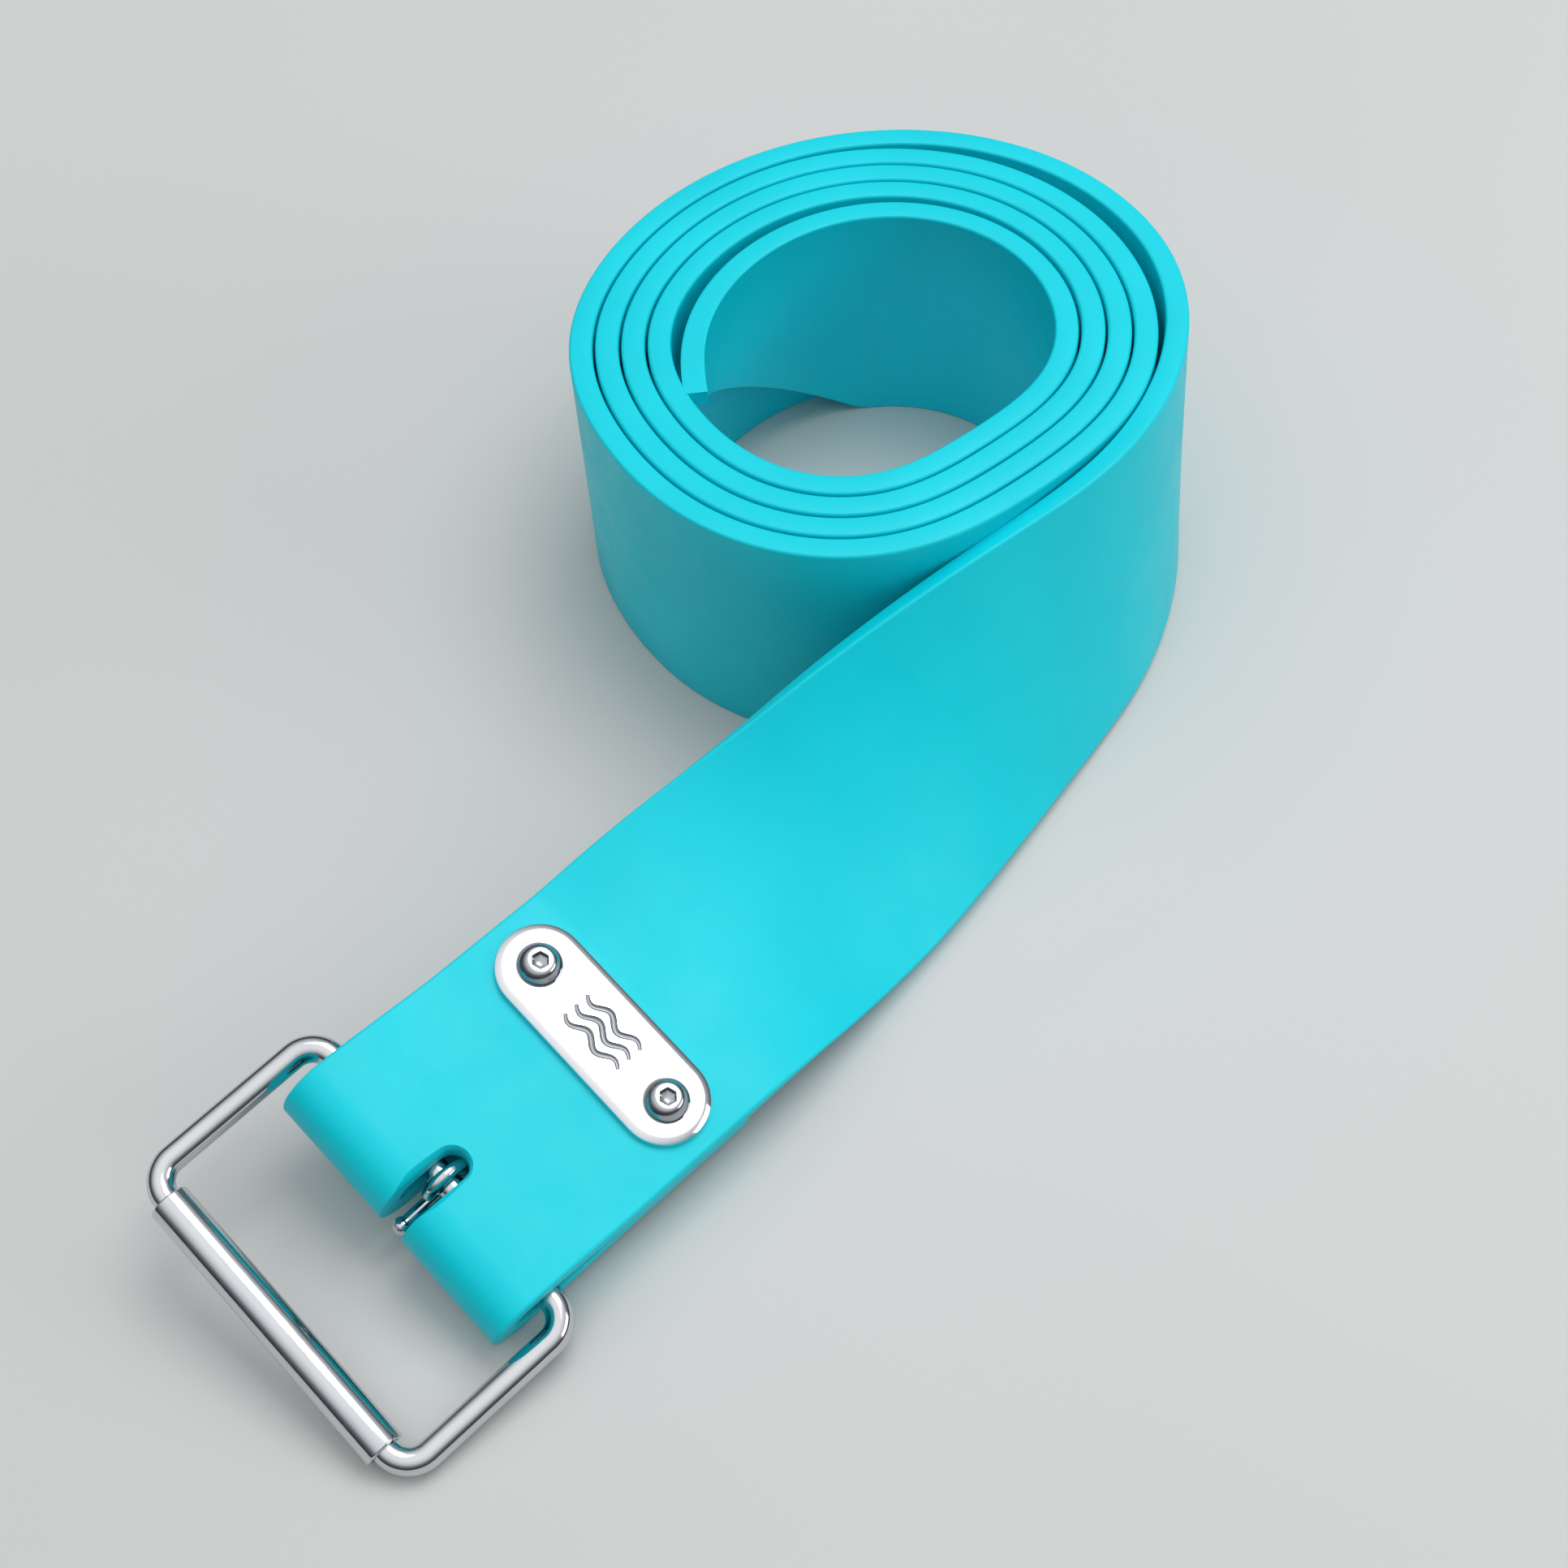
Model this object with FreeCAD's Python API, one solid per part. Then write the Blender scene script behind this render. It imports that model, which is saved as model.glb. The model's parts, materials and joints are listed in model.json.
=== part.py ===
"""Dive weight belt: coiled rubber strap with a wire roller buckle, plate, screws and tongue.

Millimetres, +Z up. The flat run of the strap points along +X from the buckle to the coil.
The buckle end leans to one side (it is built flat, then rolled about X), and the strap twists
from there to stand on its edge in the coil.
"""
import FreeCAD, Part
import math
import os

V = FreeCAD.Vector

# ---- strap ----
STRAP_WIDTH = 50.0
STRAP_THICK = 4.2
ROLL = 15.4                 # lean of the buckle end about X, degrees
PLATE_X = 35.2              # plate centre from the construction origin
PLATE_LENGTH = 44.0
PLATE_WIDTH = 15.0
PLATE_THICK = 1.6
BACK_PLATE_THICK = 1.5
LAYER_GAP = 0.1             # between the strap and its turned-back flap
FLAP_END_X = 45.0
LOOP_BLEND_X = 24.0         # the loop closes onto the flap here
LOOP_X = -2.0               # centre of the loop's arc

# ---- twist between the plate and the coil ----
TWIST_START_X = 43.2
TWIST_LENGTH = 181.0
SETTLE = 0.15               # the lower edge is flattened by this much where it stands
TWIST_POWER = 0.72
DROP_LENGTH = 48.0          # the strap comes down onto the ground over this length
RUN_SHIFT = -1.6            # sideways drift of the run

# ---- coil: radius of the strap's middle against the angle wound from the inner end ----
COIL_X = 150.6
COIL_RADIUS = 35.0
COIL_PITCH = 4.3
COIL_DRIFT = 0.29
COIL_END_ANGLE = 154.9
WHOLE_TURNS = 4
STEP_AT = 0.949             # each layer climbs over the inner end here, in turns
STEP_WIDTH = 0.144
OVAL = 1.28
OVAL_ANGLE = 3.3
EGG = 2.46
EGG_ANGLE = -10.6
FLAT_DEPTH = 4.74
FLAT_ANGLE = -92.7
FLAT_WIDTH = 30.2
INNER_GAP = 2.3
INNER_GAP_TURNS = 0.58
BULGE = 2.3
BULGE_AT = 4.464
BULGE_WIDTH = 0.125
LEAVE = 5.97
LEAVE_AT = 4.556
LEAVE_WIDTH = 0.29
TAIL_CUT_LENGTH = 62.0      # slanted cut of the strap's inner end
TAIL_TIP_HEIGHT = 3.0
CUT_EASE = 0.06             # rounds the corner where the slant starts
PATH_STEP = 4.0             # between sections
FACE_SPANS = 16             # sections to a face, so that each face stays simple

# ---- buckle ----
BAR_X = 2.0
BAR_RISE = 0.25             # the bar sits this far above the loop's middle
WIRE_DIAMETER = 4.5
LOOP_CLEAR = 0.65
FRAME_WIDTH = 60.6          # between the side rods' axes
FRAME_LENGTH = 33.1         # bar axis to roller axis
FRAME_CORNER = 4.6
FRAME_DROP = 6.0            # the frame hangs this many degrees below the strap's plane
ROLLER_DIAMETER = 6.8
ROLLER_BORE = 4.66
ROLLER_LENGTH = 51.0
ROLLER_SEAM = 0.4

# ---- tongue ----
TONGUE_WIRE = 2.2
TONGUE_TIP = 3.1            # diameter of the ball on the pin's end
TONGUE_CLEAR = 0.08
TONGUE_ANGLE = 12.0         # the pin points this far below the strap's plane
TONGUE_PIN = 9.6
TONGUE_WRAP = 250.0
TONGUE_MIDDLE = -0.8
SLOT_WIDTH = 5.2
SLOT_END_X = 6.0
SLOT_FLARE = 1.1            # the slot's rear rim opens out by this much
SLOT_FLARE_LENGTH = 9.0

# ---- screws and barrel nuts ----
SCREW_SPACING = 30.0
SHANK_DIAMETER = 3.9
HEAD_DIAMETER = 7.6
HEAD_HEIGHT = 2.2
HEX_ACROSS_FLATS = 2.5
HEX_DEPTH = 1.3
PLATE_HOLE = 4.3
BARREL_DIAMETER = 5.2
BARREL_BORE = 4.0
BARREL_HOLE = 5.4
FLANGE_DIAMETER = 8.4
FLANGE_THICK = 0.9

HALF_T = STRAP_THICK / 2
LOOP_R = WIRE_DIAMETER / 2 + LOOP_CLEAR + HALF_T      # middle of the strap round the bar
LAYER_MID = LAYER_GAP / 2 + HALF_T                    # middle of each layer at the plate
TOP_FACE = LAYER_MID + HALF_T
PLATE_SEAT = TOP_FACE + 0.02
ROLL_RAD = math.radians(ROLL)
ORIGIN = V(0, LAYER_MID * math.sin(ROLL_RAD),
           STRAP_WIDTH / 2 * math.sin(ROLL_RAD) + (LOOP_R + HALF_T) * math.cos(ROLL_RAD))
ACROSS = V(0, math.cos(ROLL_RAD), math.sin(ROLL_RAD))
OUT = V(0, -math.sin(ROLL_RAD), math.cos(ROLL_RAD))
BUCKLE = FreeCAD.Placement(ORIGIN, FreeCAD.Rotation(V(1, 0, 0), ROLL))
BAR = V(BAR_X, 0, BAR_RISE)
HANG = FreeCAD.Placement(BAR, FreeCAD.Rotation(V(0, 1, 0), -FRAME_DROP))


def ease(t):
    t = min(max(t, 0.0), 1.0)
    return t * t * (3 - 2 * t)


def coil_radius(turns, angle):
    """Radius of the strap's middle after `turns` from the inner end, at `angle` round the coil."""
    r = COIL_RADIUS + COIL_DRIFT * turns + OVAL * math.cos(2 * (angle - math.radians(OVAL_ANGLE)))
    r += COIL_PITCH * sum(ease((turns - k - STEP_AT) / STEP_WIDTH) for k in range(WHOLE_TURNS))
    r -= INNER_GAP * (1 - ease(turns / INNER_GAP_TURNS))
    r += EGG * math.cos(angle - math.radians(EGG_ANGLE))
    off = (math.degrees(angle) - FLAT_ANGLE + 180) % 360 - 180
    r -= FLAT_DEPTH * math.exp(-(off / FLAT_WIDTH) ** 2) * (1 - ease((turns - 4.0) / 0.3))
    r += BULGE * math.exp(-((turns - BULGE_AT) / BULGE_WIDTH) ** 2)
    return r + LEAVE * ease((turns - LEAVE_AT) / LEAVE_WIDTH)


TURNS = WHOLE_TURNS + (COIL_END_ANGLE + 90) / 360.0
COIL_Y = coil_radius(TURNS, -math.pi / 2) + RUN_SHIFT


def plan_path():
    """Middle of the strap in plan, from the start of the twist to the inner end of the coil."""
    points = []
    steps = 28
    for i in range(steps):
        x = TWIST_START_X + (COIL_X - TWIST_START_X) * i / steps
        points.append((x, RUN_SHIFT * ease((x - TWIST_START_X) / (COIL_X - TWIST_START_X))))
    steps = 420
    for i in range(steps + 1):
        turns = TURNS * (1 - i / steps)
        angle = math.radians(COIL_END_ANGLE) - 2 * math.pi * turns
        r = coil_radius(turns, angle)
        points.append((COIL_X + r * math.cos(angle), COIL_Y + r * math.sin(angle)))
    return points


def evenly(points, step):
    """The same path at equal steps, with its small kinks averaged out."""
    lengths = [0.0]
    for a, b in zip(points[:-1], points[1:]):
        lengths.append(lengths[-1] + math.dist(a, b))
    count = int(round(lengths[-1] / step))
    out, k = [], 0
    for i in range(count + 1):
        s = lengths[-1] * i / count
        while k < len(points) - 2 and lengths[k + 1] < s:
            k += 1
        t = (s - lengths[k]) / (lengths[k + 1] - lengths[k])
        out.append(tuple(a + (b - a) * t for a, b in zip(points[k], points[k + 1])))
    for _ in range(6):
        out = ([out[0]] + [tuple((a + 2 * b + c) / 4 for a, b, c in zip(*trio))
                           for trio in zip(out[:-2], out[1:-1], out[2:])] + [out[-1]])
    return out, lengths[-1] / count


def run_sections():
    """Section frames (middle, across, out, cut) along the twist and the coil."""
    plan, step = evenly(plan_path(), PATH_STEP)
    total = step * (len(plan) - 1)
    low = (ORIGIN.z - STRAP_WIDTH / 2 * math.sin(ROLL_RAD)
           + (LAYER_MID - HALF_T) * math.cos(ROLL_RAD))
    middles, rolls = [], []
    for i, (x, y) in enumerate(plan):
        s = i * step
        roll = ROLL_RAD + (math.pi / 2 - ROLL_RAD) * ease(min(s / TWIST_LENGTH, 1.0) ** TWIST_POWER)
        z = STRAP_WIDTH / 2 * math.sin(roll) + HALF_T * math.cos(roll)
        middles.append(V(x, y, z + low * (1 - ease(s / DROP_LENGTH))))
        rolls.append(roll)
    sections = []
    for i, (m, roll) in enumerate(zip(middles, rolls)):
        along = middles[min(i + 1, len(middles) - 1)] - middles[max(i - 1, 0)]
        if i == 0:
            along = V(1, 0, 0)
        along.normalize()
        left = V(0, 0, 1).cross(along).normalize()
        up = along.cross(left)
        across = left * math.cos(roll) + up * math.sin(roll)
        out = up * math.cos(roll) - left * math.sin(roll)
        to_end = total - i * step
        corner = min((m - across * (STRAP_WIDTH / 2) + out * (HALF_T * face)).z for face in (-1, 1))
        down = ease(i * step / DROP_LENGTH)
        m = m + V(0, 0, low * (1 - down) - corner - SETTLE * down)
        slant = max(0.0, 1 - to_end / TAIL_CUT_LENGTH)
        cut = (STRAP_WIDTH - TAIL_TIP_HEIGHT) * slant ** 2 * (1 + CUT_EASE) / (slant + CUT_EASE)
        sections.append((m, across, out, cut))
    return sections


def loop_sections():
    """Section frames from the flap's end, round the bar and back to the start of the twist."""
    def layer(x):
        return LAYER_MID + (LOOP_R - LAYER_MID) * (1 - ease((x - LOOP_X) / (LOOP_BLEND_X - LOOP_X)))
    flat = [(x, layer(x)) for x in (FLAP_END_X, 40, 35, 30, 26, 23, 20, 17, 14, 11, 8, 5, 2.5, 0)]
    under = [(x, -n) for x, n in flat]
    bend = [(LOOP_X - LOOP_R * math.sin(math.pi * k / 14), -LOOP_R * math.cos(math.pi * k / 14))
            for k in range(15)]
    over = [(x, n) for x, n in reversed(flat[1:])]
    profile = under + bend + over + [(TWIST_START_X, LAYER_MID)]
    sections = []
    for i, (x, n) in enumerate(profile):
        a, b = profile[max(i - 1, 0)], profile[min(i + 1, len(profile) - 1)]
        along = V(b[0] - a[0], 0, b[1] - a[1])
        if i in (0, len(profile) - 1):
            along = V(b[0] - a[0], 0, 0)
        along.normalize()
        normal = V(-along.z, 0, along.x)
        sections.append((BUCKLE.multVec(V(x, 0, n)), ACROSS, BUCKLE.Rotation.multVec(normal), 0.0))
    return sections


def band(sections):
    """A solid band with square edges through the section frames."""
    rails = []
    for side, face in ((-1, -1), (1, -1), (1, 1), (-1, 1)):
        points = []
        for middle, across, out, cut in sections:
            width = STRAP_WIDTH / 2 * side + (cut if side < 0 else 0.0)
            points.append(middle + across * width + out * (HALF_T * face))
        rails.append(points)
    lengths = [0.0]
    for a, b in zip(sections[:-1], sections[1:]):
        lengths.append(lengths[-1] + a[0].distanceToPoint(b[0]))
    curves = []
    for points in rails:
        curve = Part.BSplineCurve()
        curve.interpolate(Points=points, Parameters=lengths)
        curves.append(curve)
    faces = []
    stops = lengths[::FACE_SPANS] + lengths[-1:]
    for start, stop in zip(stops[:-1], stops[1:]):
        parts = [curve.copy() for curve in curves]
        for part in parts:
            part.segment(start, stop)
        for a, b in zip(parts, parts[1:] + parts[:1]):
            surface = Part.BSplineSurface()
            poles = [[p, q] for p, q in zip(a.getPoles(), b.getPoles())]
            surface.buildFromPolesMultsKnots(poles, a.getMultiplicities(), [2, 2], a.getKnots(), [0.0, 1.0],
                                             False, False, a.Degree, 1)
            faces.append(surface.toShape())
    for end in (0, -1):
        corners = [rail[end] for rail in rails]
        faces.append(Part.Face(Part.makePolygon(corners + corners[:1])))
    shell = Part.Shell(faces)
    shell.sewShape()
    solid = Part.Solid(shell)
    if solid.Volume < 0:
        solid.reverse()
    return solid


def stadium(length, width, z, centre_x=0.0, centre_y=0.0, along_y=True):
    """Closed wire with two straight sides and two round ends, at height z."""
    r, half = width / 2, length / 2 - width / 2
    turn = 0 if along_y else -90
    place = FreeCAD.Placement(V(centre_x, centre_y, z), FreeCAD.Rotation(V(0, 0, 1), turn))
    a, b, c, d = V(r, -half, 0), V(r, half, 0), V(-r, half, 0), V(-r, -half, 0)
    wire = Part.Wire([Part.makeLine(a, b), Part.Arc(b, V(0, half + r, 0), c).toShape(),
                      Part.makeLine(c, d), Part.Arc(d, V(0, -half - r, 0), a).toShape()])
    wire.Placement = place
    return wire


def slab(wire, height):
    return Part.Face(wire).extrude(V(0, 0, height))


def cylinder(diameter, z, height, y=0.0, x=None):
    return Part.makeCylinder(diameter / 2, height, V(PLATE_X if x is None else x, y, z))


def make_strap():
    strap = band(loop_sections() + run_sections()[1:])
    slot_length = SLOT_END_X + 12.0
    slot_x = SLOT_END_X - slot_length / 2
    tools = [slab(stadium(slot_length, SLOT_WIDTH, -12, slot_x, TONGUE_MIDDLE, False), 24)]
    flare_x = SLOT_END_X - SLOT_FLARE_LENGTH / 2
    tools.append(Part.makeLoft([
        stadium(SLOT_FLARE_LENGTH, SLOT_WIDTH, TOP_FACE + 1.2, flare_x, TONGUE_MIDDLE, False),
        stadium(SLOT_FLARE_LENGTH + 2 * SLOT_FLARE, SLOT_WIDTH + 2 * SLOT_FLARE, TOP_FACE + 3.2,
                flare_x, TONGUE_MIDDLE, False)], True))
    for side in (1, -1):
        tools.append(cylinder(BARREL_HOLE, -8, 16, side * SCREW_SPACING / 2))
    for tool in tools:
        tool.Placement = BUCKLE.multiply(tool.Placement)
        strap = strap.cut(tool)
    ground = Part.makeBox(400, 400, 20, V(-100, -150, -20))
    return strap.cut(ground)


def make_plate(z, thick, hole, bevel_up):
    plate = slab(stadium(PLATE_LENGTH, PLATE_WIDTH, z, PLATE_X), thick)
    for side in (1, -1):
        plate = plate.cut(cylinder(hole, z - 1, thick + 2, side * SCREW_SPACING / 2))
    rim_z = z + thick if bevel_up else z
    rim = [e for e in plate.Edges
           if abs(e.BoundBox.ZMin - rim_z) < 1e-6 and abs(e.BoundBox.ZMax - rim_z) < 1e-6
           and max(abs(e.BoundBox.YMin), abs(e.BoundBox.YMax)) > SCREW_SPACING / 2 - 0.3
           and not (hasattr(e.Curve, "Radius") and e.Curve.Radius < PLATE_WIDTH / 2 - 1)]
    return plate.makeChamfer(0.45, rim)


def make_screw(side):
    y = side * SCREW_SPACING / 2
    base = PLATE_SEAT + PLATE_THICK
    r, h = HEAD_DIAMETER / 2, HEAD_HEIGHT
    rim, crown = 0.35, 1.9
    shoulder = V((r + crown) / 2 + 0.42, 0, (h + rim) / 2 + 0.33)
    outline = Part.Wire([Part.makeLine(V(0, 0, 0), V(r, 0, 0)), Part.makeLine(V(r, 0, 0), V(r, 0, rim)),
                         Part.Arc(V(r, 0, rim), shoulder, V(crown, 0, h)).toShape(),
                         Part.makeLine(V(crown, 0, h), V(0, 0, h)), Part.makeLine(V(0, 0, h), V(0, 0, 0))])
    head = Part.Face(outline).revolve(V(0, 0, 0), V(0, 0, 1), 360)
    flat = HEX_ACROSS_FLATS / math.sqrt(3)
    turns = [math.radians(60 * k) for k in range(7)]
    corners = [V(flat * math.cos(a), flat * math.sin(a), h - HEX_DEPTH) for a in turns]
    head = head.cut(Part.Face(Part.makePolygon(corners)).extrude(V(0, 0, HEX_DEPTH + 1)))
    head.translate(V(PLATE_X, y, base))
    shank = cylinder(SHANK_DIAMETER, -TOP_FACE - 0.9, base + TOP_FACE + 0.9, y)
    return head.fuse(shank).removeSplitter()


def make_barrel_nut(side):
    y = side * SCREW_SPACING / 2
    bottom = -PLATE_SEAT - BACK_PLATE_THICK
    nut = cylinder(FLANGE_DIAMETER, bottom - FLANGE_THICK, FLANGE_THICK, y)
    nut = nut.fuse(cylinder(BARREL_DIAMETER, bottom, TOP_FACE - 0.25 - bottom, y)).removeSplitter()
    return nut.cut(cylinder(BARREL_BORE, bottom - FLANGE_THICK / 2, 30, y))


def make_frame():
    """Closed ring of round wire: back bar, two sides, front bar and four bends."""
    r, half, corner = WIRE_DIAMETER / 2, FRAME_WIDTH / 2, FRAME_CORNER
    rods = [Part.makeCylinder(r, FRAME_WIDTH - 2 * corner, V(0, -half + corner, 0), V(0, 1, 0)),
            Part.makeCylinder(r, FRAME_WIDTH - 2 * corner, V(-FRAME_LENGTH, -half + corner, 0), V(0, 1, 0))]
    for y in (-half, half):
        rods.append(Part.makeCylinder(r, FRAME_LENGTH - 2 * corner, V(-corner, y, 0), V(-1, 0, 0)))
    for cx, cy, start in ((-corner, half - corner, 0), (corner - FRAME_LENGTH, half - corner, 90),
                          (corner - FRAME_LENGTH, corner - half, 180), (-corner, corner - half, 270)):
        bend = Part.makeTorus(corner, r, V(0, 0, 0), V(0, 0, 1), -180, 180, 90)
        bend.Placement = FreeCAD.Placement(V(cx, cy, 0), FreeCAD.Rotation(V(0, 0, 1), start))
        rods.append(bend)
    ring = rods[0].multiFuse(rods[1:]).removeSplitter()
    ring.Placement = HANG
    return ring


def make_roller():
    """Sleeve rolled from sheet, with its seam open by a hair on the inner side."""
    half = ROLLER_LENGTH / 2
    sleeve = Part.makeCylinder(ROLLER_DIAMETER / 2, ROLLER_LENGTH, V(0, -half, 0), V(0, 1, 0))
    rims = [e for e in sleeve.Edges if hasattr(e.Curve, "Radius")]
    sleeve = sleeve.makeFillet(0.3, rims)
    bore = Part.makeCylinder(ROLLER_BORE / 2, ROLLER_LENGTH + 2, V(0, -half - 1, 0), V(0, 1, 0))
    sleeve = sleeve.cut(bore)
    seam = Part.makeBox(ROLLER_DIAMETER, ROLLER_LENGTH + 2, ROLLER_SEAM, V(0, -half - 1, -ROLLER_SEAM / 2))
    seam.rotate(V(0, 0, 0), V(0, 1, 0), 35)
    sleeve = sleeve.cut(seam)
    sleeve.Placement = HANG.multiply(FreeCAD.Placement(V(-FRAME_LENGTH, 0, 0), FreeCAD.Rotation()))
    return sleeve


def make_tongue():
    """Wire pin with a ball tip, which passes under the back bar and curls round it as an open eye."""
    r = TONGUE_WIRE / 2
    ring = WIRE_DIAMETER / 2 + TONGUE_CLEAR + r
    middle = BAR + V(0, TONGUE_MIDDLE, 0)
    down = V(-math.cos(math.radians(TONGUE_ANGLE)), 0, -math.sin(math.radians(TONGUE_ANGLE)))
    leave = middle - V(0, 1, 0).cross(down) * ring
    disc = Part.Face(Part.Wire(Part.makeCircle(r, leave, down)))
    eye = disc.revolve(middle, V(0, -1, 0), TONGUE_WRAP)
    pin = disc.extrude(down * TONGUE_PIN)
    tip = Part.makeSphere(TONGUE_TIP / 2, leave + down * TONGUE_PIN, down)
    return eye.multiFuse([pin, tip])


def main():
    nodes = {
        "strap": make_strap(),
        "front_plate": make_plate(PLATE_SEAT, PLATE_THICK, PLATE_HOLE, True),
        "back_plate": make_plate(-PLATE_SEAT - BACK_PLATE_THICK, BACK_PLATE_THICK, BARREL_HOLE, False),
        "screw_left": make_screw(1),
        "screw_right": make_screw(-1),
        "barrel_nut_left": make_barrel_nut(1),
        "barrel_nut_right": make_barrel_nut(-1),
        "buckle_frame": make_frame(),
        "roller_sleeve": make_roller(),
        "tongue": make_tongue(),
    }
    for name, shape in nodes.items():
        if name != "strap":
            shape.Placement = BUCKLE.multiply(shape.Placement)
    box = FreeCAD.BoundBox()
    for shape in nodes.values():
        box.add(shape.optimalBoundingBox(False))
    shift = V(-(box.XMin + box.XMax) / 2, -(box.YMin + box.YMax) / 2, -box.ZMin)
    os.makedirs("parts", exist_ok=True)
    for name, shape in nodes.items():
        shape.translate(shift)
        if shape.ShapeType != "Solid" and len(shape.Solids) == 1:
            shape = shape.Solids[0]
        shape.exportStep("parts/%s.step" % name)
        size = shape.BoundBox
        print("%-18s %-9s solids %d valid %s volume %.1f mm3, z %.2f to %.2f" % (
            name, shape.ShapeType, len(shape.Solids), shape.isValid(), shape.Volume, size.ZMin, size.ZMax))
    bar = BUCKLE.multVec(BAR) + shift
    front = BUCKLE.multVec(HANG.multVec(V(-FRAME_LENGTH, 0, 0))) + shift
    print("bar axis at", bar, "along", ACROSS, "roller axis at", front)
    print("coil centre", V(COIL_X, COIL_Y, 0) + shift)


main()
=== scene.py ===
"""Looks of the dive weight belt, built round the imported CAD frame.

The named sizes are millimetres, and angles are degrees unless radians() is applied. The belt is laid out
in its own construction frame: +X runs from the buckle to the coil, and the loop's arc is centred above
the origin. to_row() turns that frame into the part's frame, in metres.
"""

import json
import math

import bmesh
import bpy
import numpy as np
from mathutils import Matrix, Vector


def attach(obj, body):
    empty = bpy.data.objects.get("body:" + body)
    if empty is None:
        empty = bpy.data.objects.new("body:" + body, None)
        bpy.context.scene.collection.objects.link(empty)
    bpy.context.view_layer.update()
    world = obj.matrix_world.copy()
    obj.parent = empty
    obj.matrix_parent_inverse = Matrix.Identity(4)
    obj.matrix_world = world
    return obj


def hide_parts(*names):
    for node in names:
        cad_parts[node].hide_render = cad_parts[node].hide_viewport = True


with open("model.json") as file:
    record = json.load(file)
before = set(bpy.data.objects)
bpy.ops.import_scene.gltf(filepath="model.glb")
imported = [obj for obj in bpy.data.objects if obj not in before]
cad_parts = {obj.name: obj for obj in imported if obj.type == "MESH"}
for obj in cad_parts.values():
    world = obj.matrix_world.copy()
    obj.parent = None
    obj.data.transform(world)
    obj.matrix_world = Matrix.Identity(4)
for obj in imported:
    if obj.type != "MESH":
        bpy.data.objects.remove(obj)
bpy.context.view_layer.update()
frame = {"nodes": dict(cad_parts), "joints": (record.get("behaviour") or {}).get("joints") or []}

# ---- strap ----
STRAP_WIDTH = 50.0
STRAP_THICK = 4.2
HALF_T = STRAP_THICK / 2
EDGE_RADIUS = 0.55
ROLL = math.radians(15.4)   # lean of the buckle end about X
LAYER_GAP = 0.1             # between the strap and its turned-back flap
LAYER_MID = LAYER_GAP / 2 + HALF_T
TOP_FACE = LAYER_MID + HALF_T
FLAP_END_X = 45.0
LOOP_BLEND_X = 24.0         # the loop closes onto the flap here
TWIST_START_X = 43.2
TWIST_LENGTH = 181.0
TWIST_POWER = 0.72
DROP_LENGTH = 48.0          # the strap comes down onto the ground over this length
SETTLE = 0.15               # the lower edge is flattened by this much where it stands
RUN_SHIFT = -1.6            # sideways drift of the run

# ---- coil: its turns are counted outwards from the inner end ----
COIL_X = 150.6
COIL_RADIUS = 35.0
COIL_PITCH = 4.3
COIL_DRIFT = 0.29
COIL_END_ANGLE = 154.9      # where the inner end lies
WHOLE_TURNS = 4
TURNS = WHOLE_TURNS + (COIL_END_ANGLE + 90) / 360
STEP_AT, STEP_WIDTH = 0.949, 0.144  # each layer climbs over the inner end here
OVAL, OVAL_ANGLE = 1.28, math.radians(3.3)
EGG, EGG_ANGLE = 2.46, math.radians(-10.6)
FLAT_DEPTH, FLAT_ANGLE, FLAT_WIDTH = 4.74, -92.7, 30.2
FLAT_END_TURN, FLAT_FADE = 4.0, 0.3
INNER_GAP, INNER_GAP_TURNS = 2.3, 0.58
BULGE, BULGE_AT, BULGE_WIDTH = 2.3, 4.464, 0.125
LEAVE, LEAVE_AT, LEAVE_WIDTH = 5.97, 4.556, 0.29
TAIL_CUT_LENGTH = 62.0      # slanted cut of the inner end
TAIL_TIP_HEIGHT = 3.0
CUT_EASE = 0.06
PATH_STEP = 4.0
SMOOTHINGS = 6

# ---- buckle ----
BAR_X = 2.0
BAR_RISE = 0.25
WIRE_DIAMETER = 4.5
LOOP_X = -2.0               # centre of the loop's arc
LOOP_CLEAR = 0.65           # between the bar's wire and the loop
LOOP_R = WIRE_DIAMETER / 2 + LOOP_CLEAR + HALF_T
FRAME_WIDTH = 60.6
FRAME_LENGTH = 33.1
FRAME_CORNER = 4.6
FRAME_DROP = math.radians(6.0)  # the frame hangs this far below the strap's plane
ROLLER_DIAMETER = 6.8
ROLLER_BORE = 4.66
ROLLER_LENGTH = 51.0
ROLLER_SEAM = 0.4
ROLLER_SEAM_ANGLE = math.radians(35)
TONGUE_WIRE = 2.2
TONGUE_TIP = 3.1            # diameter of the ball on the pin's end
TONGUE_CLEAR = 0.08
TONGUE_ANGLE = math.radians(12)
TONGUE_PIN = 9.6
TONGUE_WRAP = math.radians(250)
TONGUE_MIDDLE = -0.8
SLOT_WIDTH = 5.2
SLOT_START_X, SLOT_END_X = -12.0, 6.0
SLOT_BOTTOM, SLOT_TOP = -12.0, 10.0
SLOT_FLARE = 1.1            # the rim of the slot widens by this much over this height
SLOT_FLARE_HEIGHT = 2.0
SLOT_FLARE_FROM = TOP_FACE + 1.0

# ---- plate and screws ----
PLATE_X = 35.2
PLATE_LENGTH = 44.0
PLATE_WIDTH = 15.0
PLATE_THICK = 1.6
PLATE_TOP = TOP_FACE + PLATE_THICK
PLATE_HOLE = 4.3
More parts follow.
